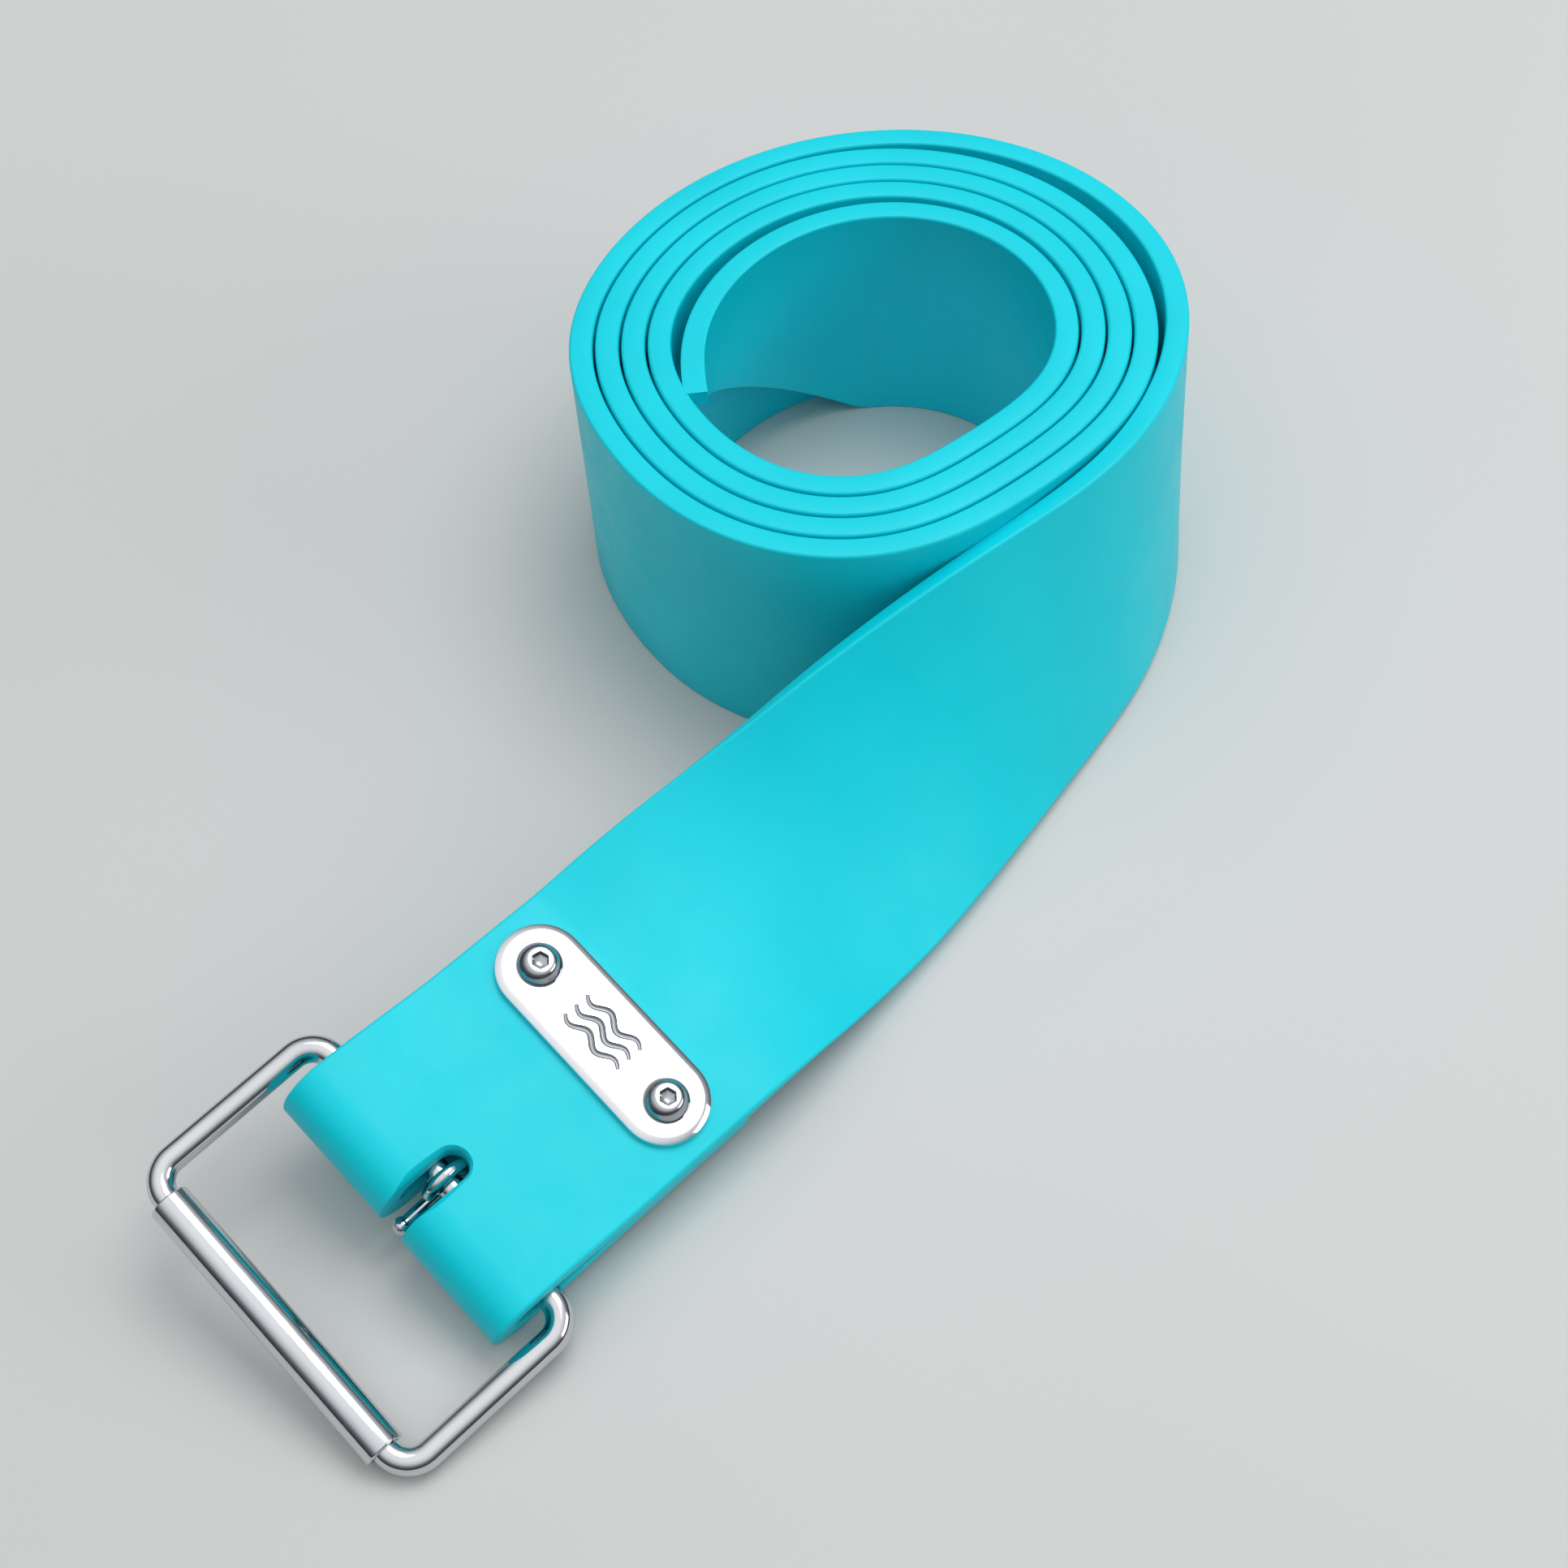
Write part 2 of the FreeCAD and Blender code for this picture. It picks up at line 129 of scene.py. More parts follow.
# crowned edge of the plate: depth below its top face, and how far in from its outline
PLATE_EDGE = [(0.5, 0.0), (0.4, 0.04), (0.36, 0.10), (0.05, 0.95), (0.01, 1.08), (0.0, 1.2)]
GROOVE_REACH = 6.2          # the engraved waves run this far to each side
GROOVE_WAVE = 0.75
GROOVE_SPACING = 2.4
GROOVE_RISE = 0.14          # their round cutter is centred this far above the plate
SCREW_SPACING = 30.0
SCREW_END = -TOP_FACE + 1.9
HEAD_DIAMETER = 7.6
HEAD_HEIGHT = 2.2
HEAD_RIM = 0.3
HEAD_CROWN = 1.9            # radius of the head's flat top
HEX_ACROSS_FLATS = 2.5
HEX_TURN = 0.2
HEX_DEPTH = 1.3
SHANK_DIAMETER = 3.9
SCREW_SIDES = 72

# ---- places of the construction frame and the leaning buckle frame ----
ARC_CENTRE = np.array([0.0, LAYER_MID * math.sin(ROLL),
                       STRAP_WIDTH / 2 * math.sin(ROLL) + (LOOP_R + HALF_T) * math.cos(ROLL)])
BUCKLE_AXES = np.array([[1.0, 0.0, 0.0],
                        [0.0, math.cos(ROLL), math.sin(ROLL)],
                        [0.0, -math.sin(ROLL), math.cos(ROLL)]])
HINGE = next(j for j in frame["joints"] if j["name"] == "frame_hinge")
SHIFT = np.array(HINGE["pos_m"]) * 1000 - ARC_CENTRE - np.array([BAR_X, 0.0, BAR_RISE]) @ BUCKLE_AXES


def to_row(points):
    """Construction frame in millimetres to row frame in metres."""
    return (np.asarray(points, float) + SHIFT) / 1000


def buckle_to_row(points):
    """Leaning buckle frame (along, across, out) in millimetres to row frame in metres."""
    return to_row(np.asarray(points, float) @ BUCKLE_AXES + ARC_CENTRE)


def ease(t):
    """Smooth step from 0 to 1."""
    t = np.clip(t, 0.0, 1.0)
    return t * t * (3 - 2 * t)


# ---------------------------------------------------------------- mesh helpers

def make_object(name, verts, faces, sharp=40):
    mesh = bpy.data.meshes.new(name)
    mesh.from_pydata([tuple(v) for v in verts], [], [tuple(f) for f in faces])
    mesh.validate()
    work = bmesh.new()
    work.from_mesh(mesh)
    bmesh.ops.recalc_face_normals(work, faces=work.faces)
    work.to_mesh(mesh)
    work.free()
    obj = bpy.data.objects.new(name, mesh)
    bpy.context.scene.collection.objects.link(obj)
    shade(obj, sharp)
    return obj


def shade(obj, sharp):
    for polygon in obj.data.polygons:
        polygon.use_smooth = True
    obj.data.set_sharp_from_angle(angle=math.radians(sharp))


def rings_to_faces(rings, size, closed_path=False, capped=True):
    """Quads between rings of `size` points; caps on the two ends of an open path."""
    faces = []
    for i in range(rings if closed_path else rings - 1):
        a, b = i * size, ((i + 1) % rings) * size
        faces += [(a + k, a + (k + 1) % size, b + (k + 1) % size, b + k) for k in range(size)]
    if capped and not closed_path:
        faces += [tuple(range(size))[::-1], tuple(range((rings - 1) * size, rings * size))]
    return faces


def tube(path, radii, sides=40, closed=False):
    """Rings round a path that stays in one plane; radii is one number, or one for each point."""
    path = np.array(path, float)
    count = len(path)
    radii = np.broadcast_to(np.asarray(radii, float), count)
    steps = np.diff(path, axis=0)
    turns = np.cross(steps[:-1], steps[1:])
    normal = turns[np.argmax(np.linalg.norm(turns, axis=1))]
    normal = normal / np.linalg.norm(normal)
    verts = []
    for i in range(count):
        before = path[i - 1] if closed or i else path[0]
        after = path[(i + 1) % count] if closed or i < count - 1 else path[-1]
        along = (after - before) / np.linalg.norm(after - before)
        side = np.cross(normal, along)
        for k in range(sides):
            a = 2 * math.pi * k / sides
            verts.append(path[i] + radii[i] * (side * math.cos(a) + normal * math.sin(a)))
    return np.array(verts), rings_to_faces(count, sides, closed)


def lathe(profile, sides=64):
    """Verts and faces of a (radius, height) outline turned about Z; a radius of 0 closes it."""
    verts, rings = [], []
    for r, z in profile:
        if r < 1e-6:
            rings.append([len(verts)] * sides)
            verts.append((0.0, 0.0, z))
        else:
            rings.append(list(range(len(verts), len(verts) + sides)))
            verts += [(r * math.cos(2 * math.pi * k / sides), r * math.sin(2 * math.pi * k / sides), z)
                      for k in range(sides)]
    faces = []
    for a, b in zip(rings[:-1], rings[1:]):
        for k in range(sides):
            n = (k + 1) % sides
            face = []
            for v in (a[k], a[n], b[n], b[k]):
                if v not in face:
                    face.append(v)
            if len(face) > 2:
                faces.append(tuple(face))
    return np.array(verts), faces


def stadium_points(length, width, inset=0.0, along_x=False, arc=24):
    """Outline of a slot or plate with round ends, counter-clockwise, its long way along Y or X."""
    r, half = width / 2 - inset, length / 2 - width / 2
    points = []
    for side, start in ((1, 0.0), (-1, math.pi)):
        for k in range(arc + 1):
            a = start + math.pi * k / arc
            points.append((r * math.cos(a), side * half + r * math.sin(a)))
    return [(y, -x) for x, y in points] if along_x else points


def cut_with(obj, tools):
    """Takes the tool meshes out of obj."""
    for tool in tools:
        boolean = obj.modifiers.new("cut", "BOOLEAN")
        boolean.operation = "DIFFERENCE"
        boolean.solver = "EXACT"
        boolean.object = tool
        graph = bpy.context.evaluated_depsgraph_get()
        mesh = bpy.data.meshes.new_from_object(obj.evaluated_get(graph))
        obj.modifiers.remove(boolean)
        obj.data = mesh
        bpy.data.objects.remove(tool)


# ---------------------------------------------------------------- strap

def coil_radius(turns, angle):
    """Distance of the strap's middle from the coil's centre, this many turns from the inner end."""
    r = COIL_RADIUS + COIL_DRIFT * turns + OVAL * math.cos(2 * (angle - OVAL_ANGLE))
    r += COIL_PITCH * sum(ease((turns - k - STEP_AT) / STEP_WIDTH) for k in range(WHOLE_TURNS))
    r -= INNER_GAP * (1 - ease(turns / INNER_GAP_TURNS))
    r += EGG * math.cos(angle - EGG_ANGLE)
    off = (math.degrees(angle) - FLAT_ANGLE + 180) % 360 - 180
    r -= FLAT_DEPTH * math.exp(-(off / FLAT_WIDTH) ** 2) * (1 - ease((turns - FLAT_END_TURN) / FLAT_FADE))
    r += BULGE * math.exp(-((turns - BULGE_AT) / BULGE_WIDTH) ** 2)
    return r + LEAVE * ease((turns - LEAVE_AT) / LEAVE_WIDTH)


def plan_path():
    """Middle of the strap in plan, evenly spaced, from the start of the twist to the inner end."""
    coil_y = coil_radius(TURNS, -math.pi / 2) + RUN_SHIFT
    straight = np.linspace(TWIST_START_X, COIL_X, 28, endpoint=False)
    points = [(x, RUN_SHIFT * ease((x - TWIST_START_X) / (COIL_X - TWIST_START_X))) for x in straight]
    for turns in np.linspace(TURNS, 0.0, 421):
        angle = math.radians(COIL_END_ANGLE) - 2 * math.pi * turns
        r = coil_radius(turns, angle)
        points.append((COIL_X + r * math.cos(angle), coil_y + r * math.sin(angle)))
    points = np.array(points)
    lengths = np.concatenate([[0.0], np.cumsum(np.linalg.norm(np.diff(points, axis=0), axis=1))])
    count = int(round(lengths[-1] / PATH_STEP))
    even = np.linspace(0.0, lengths[-1], count + 1)
    path = np.stack([np.interp(even, lengths, points[:, i]) for i in (0, 1)], axis=1)
    for _ in range(SMOOTHINGS):
        path[1:-1] = (path[:-2] + 2 * path[1:-1] + path[2:]) / 4
    return path, lengths[-1] / count


def normalised(rows):
    """Each row scaled to length 1."""
    return rows / np.linalg.norm(rows, axis=1, keepdims=True)


def run_sections():
    """Rows of (middle, across, out, cut) along the twist and the coil."""
    plan, step = plan_path()
    s = step * np.arange(len(plan))
    down = ease(s / DROP_LENGTH)
    start = ARC_CENTRE[2] - STRAP_WIDTH / 2 * math.sin(ROLL) + (LAYER_MID - HALF_T) * math.cos(ROLL)
    low = start * (1 - down)
    roll = ROLL + (math.pi / 2 - ROLL) * ease(np.minimum(s / TWIST_LENGTH, 1.0) ** TWIST_POWER)
    middle = np.column_stack([plan, STRAP_WIDTH / 2 * np.sin(roll) + HALF_T * np.cos(roll) + low])
    along = np.gradient(middle, axis=0)
    along[0] = (1, 0, 0)
    along = normalised(along)
    left = normalised(np.cross((0, 0, 1), along))
    up = np.cross(along, left)
    sine, cosine = np.sin(roll)[:, None], np.cos(roll)[:, None]
    across = left * cosine + up * sine
    out = up * cosine - left * sine
    corners = [(middle - across * STRAP_WIDTH / 2 + out * HALF_T * face)[:, 2] for face in (-1, 1)]
    middle[:, 2] += low - SETTLE * down - np.minimum(*corners)
    slant = np.maximum(0.0, 1 - (s[-1] - s) / TAIL_CUT_LENGTH)
    cut = (STRAP_WIDTH - TAIL_TIP_HEIGHT) * slant ** 2 * (1 + CUT_EASE) / (slant + CUT_EASE)
    return np.column_stack([middle, across, out, cut])


def finer(rows, parts=3):
    """Smooth curve through the rows with `parts` steps between each two."""
    padded = np.vstack([2 * rows[0] - rows[1], rows, 2 * rows[-1] - rows[-2]])
    p0, p1, p2, p3 = padded[:-3], padded[1:-2], padded[2:-1], padded[3:]
    out = []
    for k in range(parts):
        t = k / parts
        out.append(0.5 * (2 * p1 + (p2 - p0) * t + (2 * p0 - 5 * p1 + 4 * p2 - p3) * t * t
                          + (3 * p1 - p0 - 3 * p2 + p3) * t ** 3))
    rows = np.vstack([np.stack(out, axis=1).reshape(-1, rows.shape[1]), rows[-1:]])
    rows[:, 3:6] = normalised(rows[:, 3:6])
    rows[:, 6:9] = normalised(rows[:, 6:9])
    return rows


def loop_sections():
    """Rows of (middle, across, out, cut) from the flap's end round the bar to the twist."""
    x = np.concatenate([np.linspace(FLAP_END_X, 26, 14), np.linspace(24.5, LOOP_X + 1, 24)])
    n = LAYER_MID + (LOOP_R - LAYER_MID) * (1 - ease((x - LOOP_X) / (LOOP_BLEND_X - LOOP_X)))
    bend = np.linspace(0, math.pi, 29)
    profile = np.vstack([np.column_stack([x, -n]),
                         np.column_stack([LOOP_X - LOOP_R * np.sin(bend), -LOOP_R * np.cos(bend)]),
                         np.column_stack([x, n])[::-1][:-1],
                         [(TWIST_START_X, LAYER_MID)]])
    profile = profile[(profile[:, 0] <= TWIST_START_X) | (profile[:, 1] < 0)]
    along = normalised(np.gradient(profile, axis=0))
    rows = []
    for (px, pn), (ax, an) in zip(profile, along):
        middle = np.array([px, 0.0, pn]) @ BUCKLE_AXES + ARC_CENTRE
        out = np.array([-an, 0.0, ax]) @ BUCKLE_AXES
        rows.append(np.concatenate([middle, BUCKLE_AXES[1], out, [0.0]]))
    return np.array(rows)


def edge_profile():
    """Closed cross-section (across, out) with rounded edges and close lines beside them."""
    half, r = STRAP_WIDTH / 2, EDGE_RADIUS
    flat = [-half + r + 0.05, -half + r + 0.5] + list(np.linspace(-half + 4, half - 4, 12))
    flat += [half - r - 0.5, half - r - 0.05]
    corner = [math.radians(a) for a in (0, 22.5, 45, 67.5, 90)]
    points = [(u, -HALF_T) for u in flat]
    points += [(half - r + r * math.sin(a), -HALF_T + r - r * math.cos(a)) for a in corner]
    points.append((half, 0.0))
    points += [(half - r + r * math.cos(a), HALF_T - r + r * math.sin(a)) for a in corner]
    points += [(u, HALF_T) for u in reversed(flat)]
    points += [(-half + r - r * math.sin(a), HALF_T - r + r * math.cos(a)) for a in corner]
    points.append((-half, 0.0))
    points += [(-half + r - r * math.cos(a), -HALF_T + r - r * math.sin(a)) for a in corner]
    return np.array(points)


def slot_cutter():
    """The slot through the loop, with the rounded rim at its rear."""
    levels = [(SLOT_BOTTOM, 0.0), (SLOT_FLARE_FROM, 0.0)]
    for t in np.linspace(0.12, 1.0, 8):
        levels.append((SLOT_FLARE_FROM + SLOT_FLARE_HEIGHT * t, SLOT_FLARE * t ** 2))
    levels.append((SLOT_TOP, SLOT_FLARE))
    length, centre = SLOT_END_X - SLOT_START_X, (SLOT_END_X + SLOT_START_X) / 2
    verts = []
    for n, flare in levels:
        outline = stadium_points(length + 2 * flare, SLOT_WIDTH + 2 * flare, along_x=True)
        verts += [(centre + x, TONGUE_MIDDLE + y, n) for x, y in outline]
    size = len(verts) // len(levels)
    return make_object("slot_cutter", buckle_to_row(verts), rings_to_faces(len(levels), size))


def build_strap():
    """The whole band: flap, loop, run, twist and coil, standing on the ground, with the slot cut out."""
    rows = np.vstack([loop_sections(), finer(run_sections())[1:]])
    profile = edge_profile()
    half = STRAP_WIDTH / 2
    verts = []
    for row in rows:
        middle, across, out, cut = row[0:3], row[3:6], row[6:9], row[9]
        width = half - (half - profile[:, 0]) * (STRAP_WIDTH - cut) / STRAP_WIDTH
        verts.append(middle + width[:, None] * across + profile[:, 1:2] * out)
    verts = np.concatenate(verts)
    verts[:, 2] = np.maximum(verts[:, 2], 0.0)
    strap = make_object("belt_strap", to_row(verts), rings_to_faces(len(rows), len(profile)))
    cut_with(strap, [slot_cutter()])
    shade(strap, 38)
    return strap


# ---------------------------------------------------------------- metal parts

def wave_groove(offset):
    """One engraved wave line across the middle of the plate."""
    y = np.linspace(-GROOVE_REACH, GROOVE_REACH, 49)
    x = PLATE_X + offset + GROOVE_WAVE * np.sin(y * 2 * math.pi / GROOVE_REACH)
    z = np.full_like(y, PLATE_TOP + GROOVE_RISE)
    radii = 0.22 + 0.38 * np.sin(np.linspace(0.15, math.pi - 0.15, len(y))) ** 0.6
    verts, faces = tube(np.column_stack([x, y, z]), radii, 16)
    groove = make_object("groove", buckle_to_row(verts), faces)
    groove.data.polygons.foreach_set("material_index", [1] * len(groove.data.polygons))
    return groove


def hole_cutter(side):
    """Straight hole for one screw."""
    radius, top = PLATE_HOLE / 2, PLATE_TOP + 2
    verts, faces = lathe([(0, -3), (radius, -3), (radius, top), (0, top)])
    verts = verts + np.array([PLATE_X, side * SCREW_SPACING / 2, 0])
    return make_object("hole", buckle_to_row(verts), faces)


def build_front_plate():
    """Stadium plate with a crowned edge, two holes and three engraved waves."""
    levels = [(TOP_FACE, 0.0)] + [(PLATE_TOP - depth, inset) for depth, inset in PLATE_EDGE]
    verts = []
    for z, inset in levels:
        verts += [(PLATE_X + x, y, z) for x, y in stadium_points(PLATE_LENGTH, PLATE_WIDTH, inset)]
    size = len(verts) // len(levels)
    plate = make_object("clamp_plate", buckle_to_row(verts), rings_to_faces(len(levels), size), 30)
    grooves = [wave_groove(row * GROOVE_SPACING) for row in (-1, 0, 1)]
    cut_with(plate, [hole_cutter(1), hole_cutter(-1)] + grooves)
    shade(plate, 24)
    return plate


def build_screw(side, name):
    """Button-head screw: plain shank, low dome, flat ring and a hexagon socket."""
    head, shank, h = HEAD_DIAMETER / 2, SHANK_DIAMETER / 2, HEAD_HEIGHT
    angles = np.linspace(0, 2 * math.pi, SCREW_SIDES, endpoint=False)
    hexagon = HEX_ACROSS_FLATS / 2 / np.cos((angles + HEX_TURN) % (math.pi / 3) - math.pi / 6)
    outline = [(shank, SCREW_END - PLATE_TOP), (shank, 0), (head - 0.1, 0), (head, 0.1), (head, HEAD_RIM)]
    for t in np.linspace(0.12, 1.0, 10):
        rise = (h - HEAD_RIM) * math.sin(t * math.pi / 2) ** 0.85
        outline.append((head - (head - HEAD_CROWN) * t, HEAD_RIM + rise))
    rings = [(np.full(SCREW_SIDES, radius), z) for radius, z in outline]
    rings += [(hexagon + 0.12, h), (hexagon, h - 0.1), (hexagon, h - HEX_DEPTH + 0.1),
              (hexagon * 0.9, h - HEX_DEPTH), (hexagon * 0.1, h - HEX_DEPTH - 0.25)]
    verts = [(radius * math.cos(a), radius * math.sin(a), z)
             for ring, z in rings for radius, a in zip(ring, angles)]
    place = np.array([PLATE_X, side * SCREW_SPACING / 2, PLATE_TOP])
    faces = rings_to_faces(len(rings), SCREW_SIDES)
    return make_object(name, buckle_to_row(np.array(verts) + place), faces, 30)


def frame_point(x, y, z=0.0):
    """A point of the hanging buckle frame, measured from its back bar's axis."""
    return (BAR_X + x * math.cos(FRAME_DROP) - z * math.sin(FRAME_DROP), y,
            BAR_RISE + x * math.sin(FRAME_DROP) + z * math.cos(FRAME_DROP))


def build_frame():
    """Closed ring of round wire with four bends."""
    half, c = FRAME_WIDTH / 2, FRAME_CORNER
    path = []
    for cx, cy, start in ((-c, half - c, 0), (c - FRAME_LENGTH, half - c, 90),
                          (c - FRAME_LENGTH, c - half, 180), (-c, c - half, 270)):
        for a in np.linspace(start, start + 90, 19):
            path.append(frame_point(cx + c * math.cos(math.radians(a)), cy + c * math.sin(math.radians(a))))
    verts, faces = tube(path, WIRE_DIAMETER / 2, 48, closed=True)
    return make_object("wire_frame", buckle_to_row(verts), faces, 60)


def build_roller():
    """Sleeve bent from sheet: rounded rims and an open seam along its length."""
    outer, inner, half, rim = ROLLER_DIAMETER / 2, ROLLER_BORE / 2, ROLLER_LENGTH / 2, 0.35
    section = [(inner, -half + 0.1), (inner, half - 0.1), (inner + 0.1, half), (outer - rim, half)]
    section += [(outer - rim + rim * math.sin(a), half - rim + rim * math.cos(a)) for a in (0.4, 0.8, 1.2)]
    section += [(outer, half - rim), (outer, -half + rim)]
    section += [(outer - rim + rim * math.cos(a), -half + rim - rim * math.sin(a)) for a in (0.4, 0.8, 1.2)]
    section += [(outer - rim, -half), (inner + 0.1, -half)]
    gap = ROLLER_SEAM / outer / 2
    verts = []
    turns = np.linspace(ROLLER_SEAM_ANGLE + gap, ROLLER_SEAM_ANGLE + 2 * math.pi - gap, 97)
    for a in turns:
        for r, y in section:
            verts.append(frame_point(-FRAME_LENGTH + r * math.cos(a), y, -r * math.sin(a)))
    return make_object("roller_tube", buckle_to_row(verts), rings_to_faces(len(turns), len(section)), 35)


def build_tongue():
    """Wire that curls round the bar as an open eye and leaves below it as a pin with a ball tip."""
    wire, ball = TONGUE_WIRE / 2, TONGUE_TIP / 2
    ring = WIRE_DIAMETER / 2 + TONGUE_CLEAR + wire
    down = np.array([-math.cos(TONGUE_ANGLE), 0.0, -math.sin(TONGUE_ANGLE)])
    below = -np.cross((0, 1, 0), down)
    middle = np.array([BAR_X, TONGUE_MIDDLE, BAR_RISE])
    leave = middle + below * ring
    tip = leave + down * TONGUE_PIN
    neck = math.acos(wire / ball)
    path, radii = [], []
    for a in np.linspace(math.radians(86), -neck, 14):
        path.append(tip + down * ball * math.sin(a))
        radii.append(ball * math.cos(a))
    for t in np.linspace(0.8, 0.05, 6):
        path.append(leave + down * TONGUE_PIN * t)
        radii.append(wire)
    for a in np.linspace(0, TONGUE_WRAP, 45):
        path.append(middle + ring * (below * math.cos(a) - down * math.sin(a)))
        radii.append(wire)
    last = path[-1] - path[-2]
    last /= np.linalg.norm(last)
    path += [path[-1] + last * 0.12, path[-1] + last * 0.2]
    radii += [wire * 0.97, wire * 0.86]
    verts, faces = tube(path, radii, 32)
    return make_object("tongue_wire", buckle_to_row(verts), faces, 50)


# ---------------------------------------------------------------- materials

def new_material(name):
    """A material, its node tree and its Principled shader."""
    material = bpy.data.materials.new(name)
    material.use_nodes = True
    return material, material.node_tree, material.node_tree.nodes["Principled BSDF"]


def noise(tree, scale, detail, stretch=(1, 1, 1)):
    """Noise fixed to the object, finer along the axes where stretch is large."""
    coordinates = tree.nodes.new("ShaderNodeTexCoord")
    mapping = tree.nodes.new("ShaderNodeMapping")
    mapping.inputs["Scale"].default_value = stretch
    texture = tree.nodes.new("ShaderNodeTexNoise")
    texture.inputs["Scale"].default_value = scale
    texture.inputs["Detail"].default_value = detail
    tree.links.new(coordinates.outputs["Object"], mapping.inputs["Vector"])
    tree.links.new(mapping.outputs["Vector"], texture.inputs["Vector"])
    return texture.outputs["Fac"]


def ramp(tree, value, low, high, colours=None):
    """Maps 0.35..0.65 of a noise to low..high, or to two colours."""
    if colours:
        node = tree.nodes.new("ShaderNodeValToRGB")
        node.color_ramp.elements[0].position, node.color_ramp.elements[1].position = 0.35, 0.65
        node.color_ramp.elements[0].color, node.color_ramp.elements[1].color = colours
        tree.links.new(value, node.inputs["Fac"])
        return node.outputs["Color"]
    node = tree.nodes.new("ShaderNodeMapRange")
    node.inputs["From Min"].default_value, node.inputs["From Max"].default_value = 0.35, 0.65
    node.inputs["To Min"].default_value, node.inputs["To Max"].default_value = low, high
    tree.links.new(value, node.inputs["Value"])
    return node.outputs["Result"]


def bump(tree, shader, height, distance, strength):
    """Fine relief on the shader, distance in metres."""
    node = tree.nodes.new("ShaderNodeBump")
    node.inputs["Distance"].default_value = distance
    node.inputs["Strength"].default_value = strength
    tree.links.new(height, node.inputs["Height"])
    tree.links.new(node.outputs["Normal"], shader.inputs["Normal"])


def rubber():
    """Turquoise rubber with a soft, slightly uneven gloss."""
    material, tree, shader = new_material("turquoise_rubber")
    tint = ramp(tree, noise(tree, 38, 4), 0, 1, ((0.001, 0.65, 0.76, 1), (0.003, 0.69, 0.80, 1)))
    tree.links.new(tint, shader.inputs["Base Color"])
    tree.links.new(ramp(tree, noise(tree, 120, 5), 0.36, 0.46), shader.inputs["Roughness"])
    shader.inputs["Specular IOR Level"].default_value = 0.25
    bump(tree, shader, noise(tree, 2600, 3), 0.00003, 0.35)
    return material


def steel(name, colour, smooth, stretch):
    """Polished steel with fine scratches that run one way, given by where stretch is small."""
    material, tree, shader = new_material(name)
    tint = ramp(tree, noise(tree, 90, 3), 0, 1, (tuple(c * 0.94 for c in colour) + (1,), colour + (1,)))
    tree.links.new(tint, shader.inputs["Base Color"])
    shader.inputs["Metallic"].default_value = 1.0
    roughness = ramp(tree, noise(tree, 400, 6, stretch), smooth, smooth + 0.09)
    tree.links.new(roughness, shader.inputs["Roughness"])
    bump(tree, shader, noise(tree, 900, 4, stretch), 0.00002, 0.25)
    return material


# ---------------------------------------------------------------- stage

def pale_floor():
    """Plain matt floor at the height that the belt stands on."""
    mesh = bpy.data.meshes.new("floor")
    half = 4.0
    corners = [(-half, -half, 0), (half, -half, 0), (half, half, 0), (-half, half, 0)]
    mesh.from_pydata(corners, [], [(0, 1, 2, 3)])
    floor = bpy.data.objects.new("floor", mesh)
    bpy.context.scene.collection.objects.link(floor)
    material, tree, shader = new_material("pale_floor")
    tree.links.new(ramp(tree, noise(tree, 3, 2), 0, 1, ((0.62, 0.62, 0.61, 1), (0.65, 0.65, 0.64, 1))),
                   shader.inputs["Base Color"])
    shader.inputs["Roughness"].default_value = 0.9
    shader.inputs["Specular IOR Level"].default_value = 0.1
    mesh.materials.append(material)


def area_light(name, place, target, size, power):
    """White rectangular light at place, turned to target."""
    data = bpy.data.lights.new(name, "AREA")
    data.shape = "RECTANGLE"
    data.size, data.size_y = size
    data.energy = power
    light = bpy.data.objects.new(name, data)
    bpy.context.scene.collection.objects.link(light)
    light.location = place
    light.rotation_euler = (Vector(target) - Vector(place)).to_track_quat("-Z", "Y").to_euler()


def soft_sky():
    """Bright overhead, darker towards the horizon, as an overcast sky."""
    world = bpy.data.worlds.new("soft_sky")
    bpy.context.scene.world = world
    world.use_nodes = True
    tree = world.node_tree
    coordinates = tree.nodes.new("ShaderNodeTexCoord")
    split = tree.nodes.new("ShaderNodeSeparateXYZ")
    colours = tree.nodes.new("ShaderNodeValToRGB")
    stops = colours.color_ramp.elements
    stops[0].position, stops[0].color = 0.12, (0.035, 0.037, 0.04, 1)
    stops[1].position, stops[1].color = 0.96, (1.0, 1.0, 1.0, 1)
    for position, level in ((0.42, 0.17), (0.7, 0.66)):
        stops.new(position).color = (level * 0.95, level, level * 1.05, 1)
    tree.links.new(coordinates.outputs["Generated"], split.inputs["Vector"])
    tree.links.new(split.outputs["Z"], colours.inputs["Fac"])
    tree.links.new(colours.outputs["Color"], tree.nodes["Background"].inputs["Color"])
    tree.nodes["Background"].inputs["Strength"].default_value = 1.1


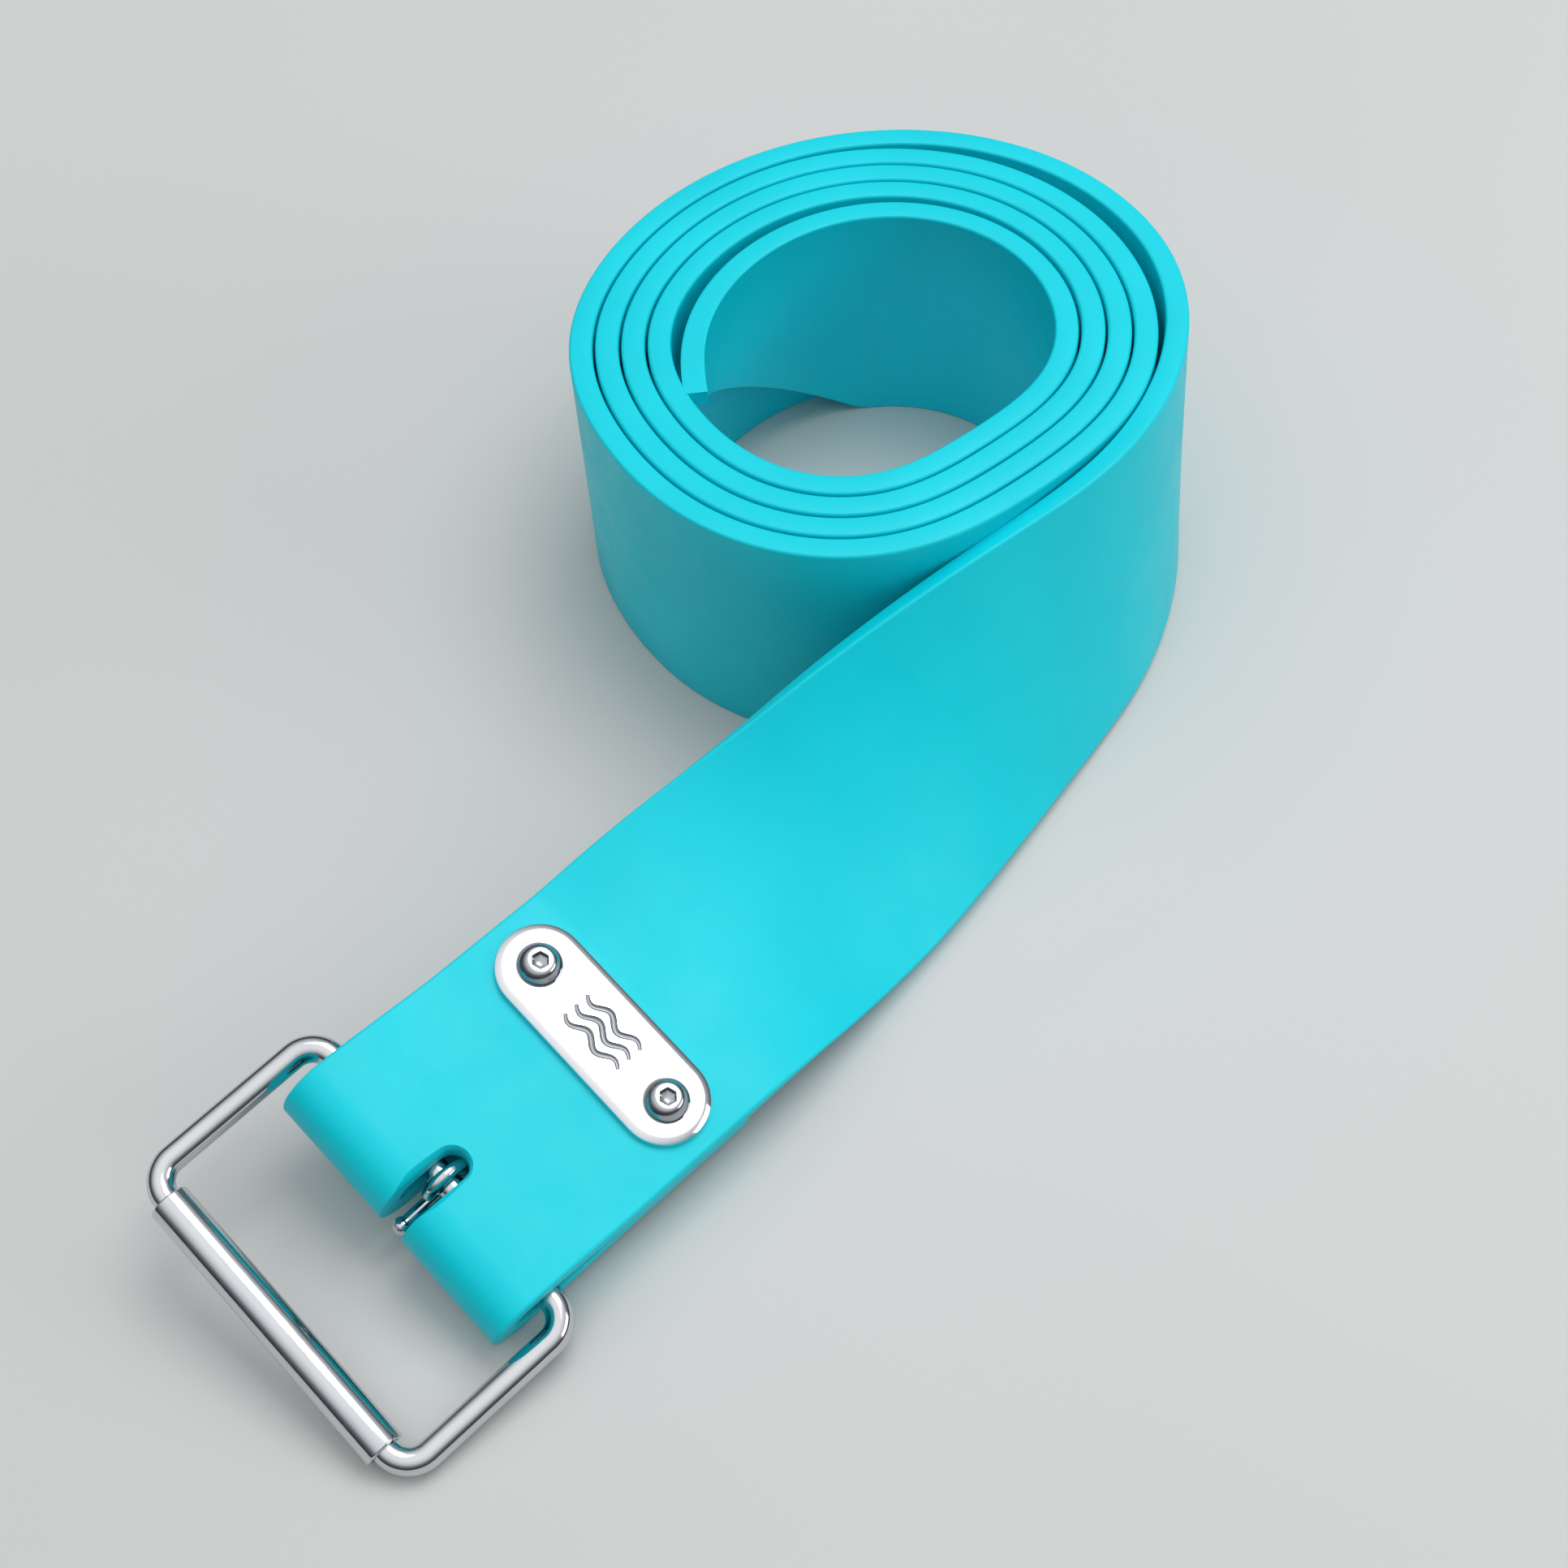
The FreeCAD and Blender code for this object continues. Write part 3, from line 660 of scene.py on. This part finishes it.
def camera():
    """Looks down on the belt from in front of the buckle's right-hand side."""
    azimuth, elevation, roll = math.radians(-41.63), math.radians(54.64), math.radians(-3.67)
    distance = 0.4433
    target = Vector(to_row((98.09, 22.72, 0.0)))
    toward = Vector((math.sin(azimuth) * math.cos(elevation), -math.cos(azimuth) * math.cos(elevation),
                     math.sin(elevation)))
    data = bpy.data.cameras.new("camera")
    data.lens = 56.87
    data.sensor_width = 36.0
    data.clip_start = 0.01
    obj = bpy.data.objects.new("camera", data)
    bpy.context.scene.collection.objects.link(obj)
    rotation = (-toward).to_track_quat("-Z", "Y").to_matrix().to_4x4() @ Matrix.Rotation(roll, 4, "Z")
    obj.matrix_world = Matrix.Translation(target + toward * distance) @ rotation
    bpy.context.scene.camera = obj


# ---------------------------------------------------------------- putting it together

def put_on(obj, body, slot, materials, *nodes):
    """Gives obj its materials, keeps each face's choice among them, ties it to its body and hides the CAD
    nodes that it replaces.
    """
    indices = [polygon.material_index for polygon in obj.data.polygons]
    obj.data.materials.clear()
    for material in materials:
        obj.data.materials.append(material)
    obj.data.polygons.foreach_set("material_index", [min(i, len(materials) - 1) for i in indices])
    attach(obj, body)
    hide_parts(*nodes)


def main():
    turquoise = rubber()
    wire = steel("polished_wire", (0.66, 0.67, 0.69), 0.07, (0.25, 1.0, 1.0))
    mirror = steel("polished_plate", (0.84, 0.85, 0.88), 0.05, (1.0, 0.15, 1.0))
    engraved = steel("engraved_groove", (0.34, 0.35, 0.38), 0.38, (1.0, 1.0, 1.0))
    # darker copy of the polished steel for the screws and nuts: painted shade standing in for the dark
    # reflections on the screw heads
    shaded_fastener = steel("fastener_painted_dark", (0.46, 0.47, 0.50), 0.14, (1.0, 1.0, 1.0))
    put_on(build_strap(), "belt", "rubber_strap", [turquoise], "strap")
    put_on(build_front_plate(), "belt", "plate_steel", [mirror, engraved], "front_plate")
    # the screws take the darker steel with its painted shade
    put_on(build_screw(1, "cap_screw_left"), "belt", "screw_steel", [shaded_fastener], "screw_left")
    put_on(build_screw(-1, "cap_screw_right"), "belt", "screw_steel", [shaded_fastener], "screw_right")
    put_on(build_frame(), "buckle_frame", "buckle_steel", [wire], "buckle_frame")
    put_on(build_roller(), "roller", "buckle_steel", [wire], "roller_sleeve")
    put_on(build_tongue(), "tongue", "buckle_steel", [wire], "tongue")
    hidden = {"back_plate": mirror, "barrel_nut_left": shaded_fastener, "barrel_nut_right": shaded_fastener}
    for node, material in hidden.items():
        frame["nodes"][node].data.materials.clear()
        frame["nodes"][node].data.materials.append(material)
    pale_floor()
    soft_sky()
    centre = Vector(to_row((98.0, 20.0, 20.0)))
    area_light("overhead", centre + Vector((0.45, 0.0, 1.2)), centre, (0.9, 0.7), 6)
    area_light("front", centre + Vector((0.7, -1.1, 0.6)), centre, (0.8, 0.5), 3.5)
    camera()
    bpy.context.scene.view_settings.view_transform = "Standard"


main()
